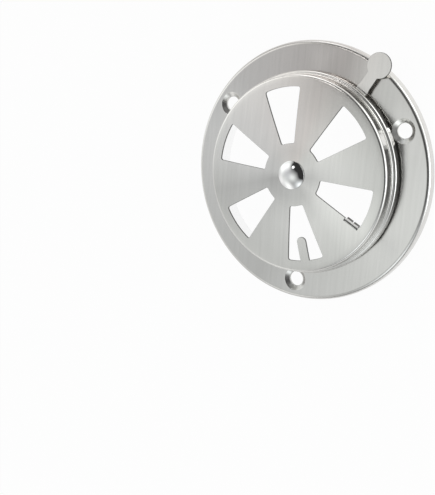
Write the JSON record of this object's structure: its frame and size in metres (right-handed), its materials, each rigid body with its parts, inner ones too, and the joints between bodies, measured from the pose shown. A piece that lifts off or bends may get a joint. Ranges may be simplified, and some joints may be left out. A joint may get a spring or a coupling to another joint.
{
  "type": "pinwheel damper",
  "caption": "Round pressed stainless vent plate with screw holes in its flange and a turning domed cap whose lever opens and shuts pinwheel windows.",
  "frame": {"origin": "centre of the mounting plane, the back edge of the flange's rim", "axes": "+Z out of the front towards the rivet's head, +Y where the lever stands when the damper is shut"},
  "size_m": [0.1016, 0.1016, 0.0187],
  "materials": {
    "base_steel": "satin",
    "cap_steel": "brushed",
    "rivet_steel": "polished",
    "washer_steel": "plain"
  },
  "bodies": {
    "housing": {"base": "base_steel", "rivet": "rivet_steel", "spacer_washer": "washer_steel", "back_washer": "washer_steel"},
    "cap": {"cap_disc": "cap_steel"}
  },
  "joints": [
    {"name": "cap_turn", "type": "hinge", "parent": "housing", "child": "cap", "pos_m": [0, 0, 0.0155], "axis": [0, 0, 1], "range_deg": [0, 31]}
  ]
}
